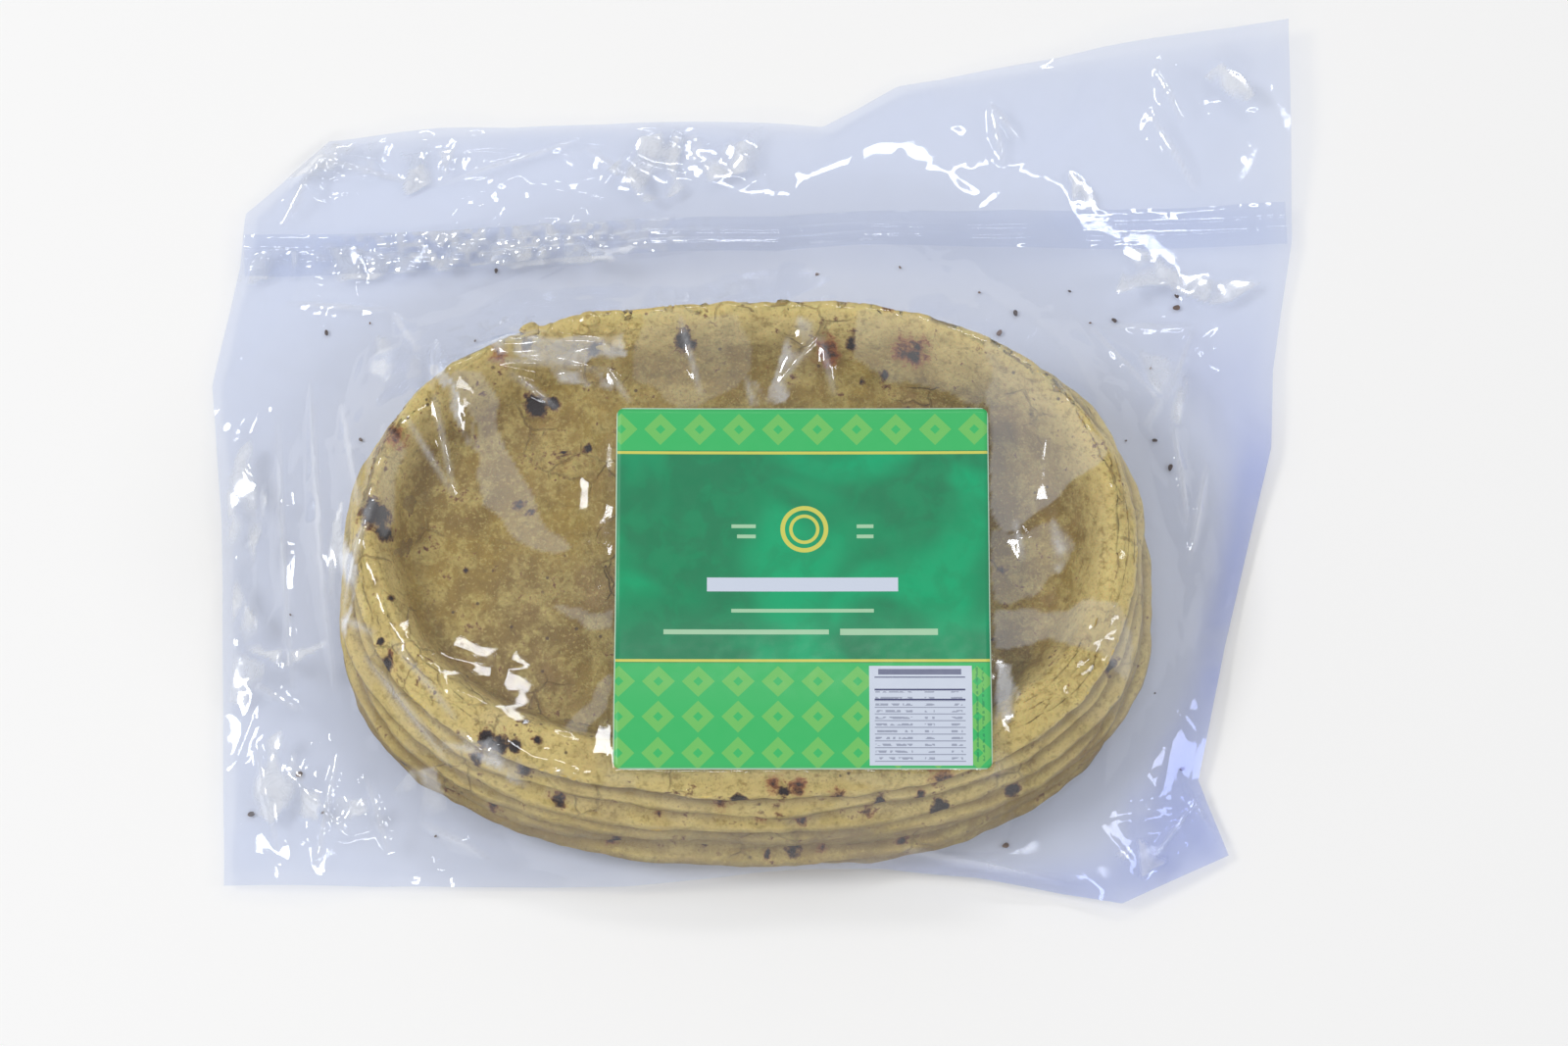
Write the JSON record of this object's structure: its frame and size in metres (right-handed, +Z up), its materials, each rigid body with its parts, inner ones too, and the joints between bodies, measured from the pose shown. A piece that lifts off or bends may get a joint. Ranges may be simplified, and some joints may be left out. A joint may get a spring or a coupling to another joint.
{
  "type": "corn tortilla stack",
  "caption": "Stack of oval corn tortillas with curled rims, sealed in a clear press-to-close bag with a square green label, lying flat",
  "frame": {"origin": "middle of the object's box at its base, on the surface that the bag lies on", "axes": "+X across the bag, its longest side; +Y towards the zip and the open header; +Z up through the stack"},
  "size_m": [0.3004, 0.2508, 0.0407],
  "materials": {
    "film": "thin clear crinkled film",
    "label": "satin printed sticker in two greens",
    "zip": "clear ribbed closure"
  },
  "bodies": {
    "root": {"bag": "film", "label": "label", "zip_strip": "zip"}
  },
  "joints": []
}
